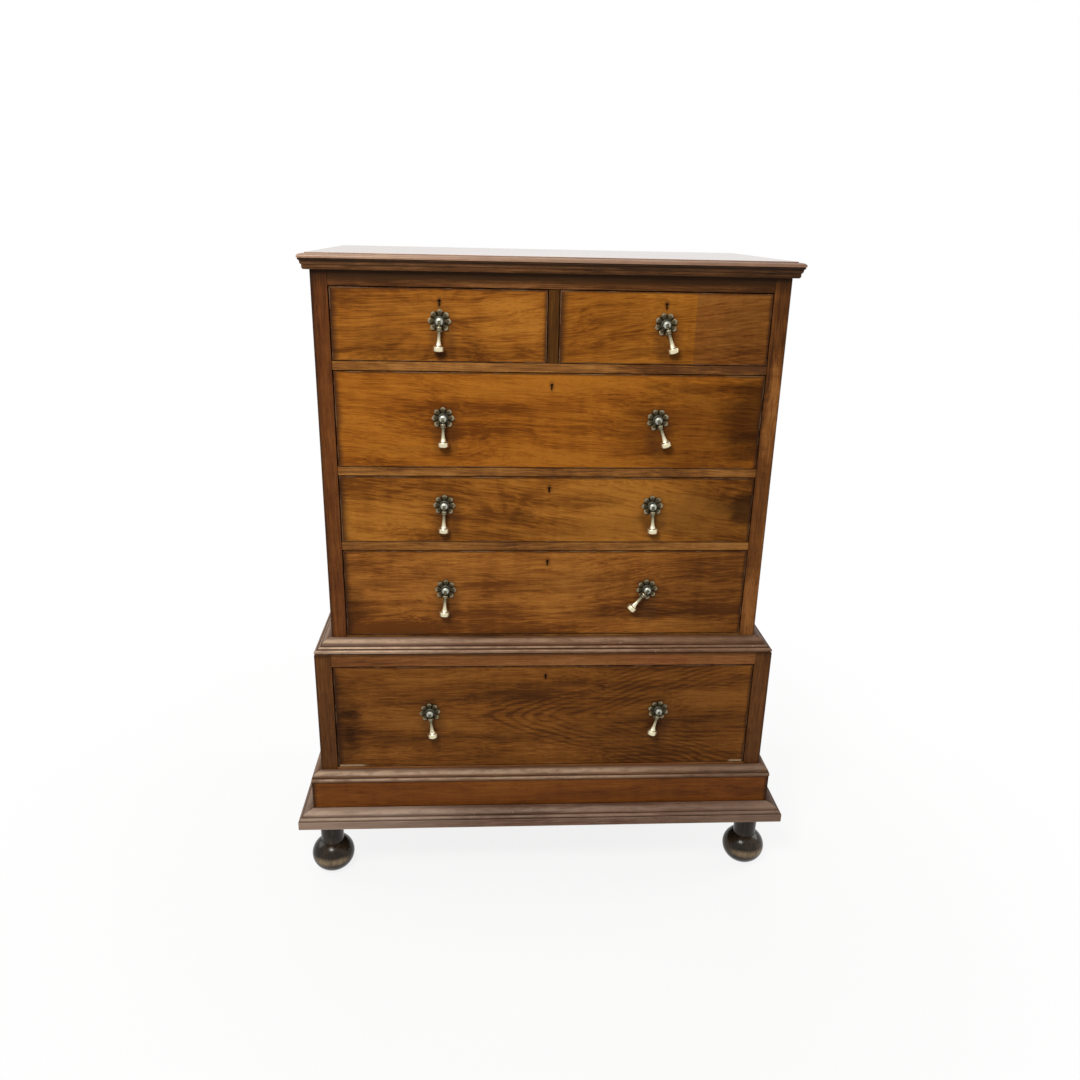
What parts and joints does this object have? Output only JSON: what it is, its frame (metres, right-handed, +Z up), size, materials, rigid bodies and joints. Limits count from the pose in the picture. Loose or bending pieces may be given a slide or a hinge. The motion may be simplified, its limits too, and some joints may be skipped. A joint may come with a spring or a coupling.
{
  "type": "chest of drawers on stand",
  "caption": "Upright wooden chest of short and long drawers on a moulded stand with a deep drawer, turned ball feet and swinging brass drop handles.",
  "frame": {"origin": "on the floor under the middle of the base", "axes": "+Z up, the drawers open towards -Y, +X to the right as one faces the drawers"},
  "size_m": [1.062, 0.561, 1.331],
  "materials": {
    "drawer_fronts": "figured mahogany, waxed, worn",
    "carcase": "red-brown mahogany, waxed",
    "moulding": "polished moulding, dusty on top",
    "inner_boards": "bare old pine",
    "feet": "dark stained turning, polished",
    "roses": "darkened cast brass",
    "pendants": "pale rubbed brass"
  },
  "bodies": {
    "carcase": {"upper_side_left": "carcase", "upper_side_right": "carcase", "upper_stile_left": "carcase", "upper_stile_right": "carcase", "upper_top_rail": "carcase", "short_drawer_divider": "carcase", "dust_board_lower": "carcase", "dust_board_middle": "carcase", "dust_board_upper": "carcase", "upper_floor": "carcase", "upper_back": "inner_boards", "top_board": "moulding", "cornice_moulding": "moulding", "waist_moulding": "moulding", "stand_top_board": "inner_boards", "stand_side_left": "carcase", "stand_side_right": "carcase", "stand_face_frame": "carcase", "stand_back": "inner_boards", "stand_dust_board": "inner_boards", "plinth_frieze": "carcase", "plinth_cap_moulding": "moulding", "base_frame": "moulding", "foot_front_left": "feet", "foot_front_right": "feet", "foot_back_left": "feet", "foot_back_right": "feet"},
    "drawer_top_left": {"drawer_front_top_left": "drawer_fronts", "drawer_box_top_left": "inner_boards", "backplate_top_left": "roses"},
    "drawer_top_right": {"drawer_front_top_right": "drawer_fronts", "drawer_box_top_right": "inner_boards", "backplate_top_right": "roses"},
    "drawer_upper": {"drawer_front_upper": "drawer_fronts", "drawer_box_upper": "inner_boards", "backplate_upper_left": "roses", "backplate_upper_right": "roses"},
    "drawer_middle": {"drawer_front_middle": "drawer_fronts", "drawer_box_middle": "inner_boards", "backplate_middle_left": "roses", "backplate_middle_right": "roses"},
    "drawer_lower": {"drawer_front_lower": "drawer_fronts", "drawer_box_lower": "inner_boards", "backplate_lower_left": "roses", "backplate_lower_right": "roses"},
    "drawer_stand": {"drawer_front_stand": "drawer_fronts", "drawer_box_stand": "inner_boards", "backplate_stand_left": "roses", "backplate_stand_right": "roses"},
    "pendant_top_left": {"pendant_top_left": "pendants"},
    "pendant_top_right": {"pendant_top_right": "pendants"},
    "pendant_upper_left": {"pendant_upper_left": "pendants"},
    "pendant_upper_right": {"pendant_upper_right": "pendants"},
    "pendant_middle_left": {"pendant_middle_left": "pendants"},
    "pendant_middle_right": {"pendant_middle_right": "pendants"},
    "pendant_lower_left": {"pendant_lower_left": "pendants"},
    "pendant_lower_right": {"pendant_lower_right": "pendants"},
    "pendant_stand_left": {"pendant_stand_left": "pendants"},
    "pendant_stand_right": {"pendant_stand_right": "pendants"}
  },
  "joints": [
    {"name": "top_left_drawer_slide", "type": "slide", "parent": "carcase", "child": "drawer_top_left", "axis": [0, -1, 0], "range_m": [0, 0.36]},
    {"name": "top_right_drawer_slide", "type": "slide", "parent": "carcase", "child": "drawer_top_right", "axis": [0, -1, 0], "range_m": [0, 0.36]},
    {"name": "upper_drawer_slide", "type": "slide", "parent": "carcase", "child": "drawer_upper", "axis": [0, -1, 0], "range_m": [0, 0.36]},
    {"name": "middle_drawer_slide", "type": "slide", "parent": "carcase", "child": "drawer_middle", "axis": [0, -1, 0], "range_m": [0, 0.36]},
    {"name": "lower_drawer_slide", "type": "slide", "parent": "carcase", "child": "drawer_lower", "axis": [0, -1, 0], "range_m": [0, 0.36]},
    {"name": "stand_drawer_slide", "type": "slide", "parent": "carcase", "child": "drawer_stand", "axis": [0, -1, 0], "range_m": [0, 0.39]},
    {"name": "top_left_pendant_swing", "type": "hinge", "parent": "drawer_top_left", "child": "pendant_top_left", "pos_m": [-0.21459, -0.2092, 1.21], "axis": [-0.999, 0, 0.0436], "range_deg": [0, 80]},
    {"name": "top_right_pendant_swing", "type": "hinge", "parent": "drawer_top_right", "child": "pendant_top_right", "pos_m": [0.21512, -0.2092, 1.2101], "axis": [-0.9511, 0, -0.309], "range_deg": [0, 80]},
    {"name": "upper_left_pendant_swing", "type": "hinge", "parent": "drawer_upper", "child": "pendant_upper_left", "pos_m": [-0.2105, -0.2092, 1.026], "axis": [-1, 0, 0], "range_deg": [0, 80]},
    {"name": "upper_right_pendant_swing", "type": "hinge", "parent": "drawer_upper", "child": "pendant_upper_right", "pos_m": [0.21118, -0.2092, 1.02612], "axis": [-0.9397, 0, -0.342], "range_deg": [0, 80]},
    {"name": "middle_left_pendant_swing", "type": "hinge", "parent": "drawer_middle", "child": "pendant_middle_left", "pos_m": [-0.21057, -0.2092, 0.849], "axis": [-0.9994, 0, 0.0349], "range_deg": [0, 80]},
    {"name": "middle_right_pendant_swing", "type": "hinge", "parent": "drawer_middle", "child": "pendant_middle_right", "pos_m": [0.21057, -0.2092, 0.849], "axis": [-0.9994, 0, -0.0349], "range_deg": [0, 80]},
    {"name": "lower_left_pendant_swing", "type": "hinge", "parent": "drawer_lower", "child": "pendant_lower_left", "pos_m": [-0.2106, -0.2092, 0.666], "axis": [-0.9986, 0, 0.0523], "range_deg": [0, 80]},
    {"name": "lower_right_pendant_swing", "type": "hinge", "parent": "drawer_lower", "child": "pendant_lower_right", "pos_m": [0.20924, -0.2092, 0.66645], "axis": [-0.7771, 0, 0.6293], "range_deg": [0, 80]},
    {"name": "stand_left_pendant_swing", "type": "hinge", "parent": "drawer_stand", "child": "pendant_stand_left", "pos_m": [-0.24579, -0.2422, 0.39601], "axis": [-0.9945, 0, -0.1045], "range_deg": [0, 80]},
    {"name": "stand_right_pendant_swing", "type": "hinge", "parent": "drawer_stand", "child": "pendant_stand_right", "pos_m": [0.24552, -0.2422, 0.39606], "axis": [-0.9703, 0, 0.2419], "range_deg": [0, 80]}
  ]
}
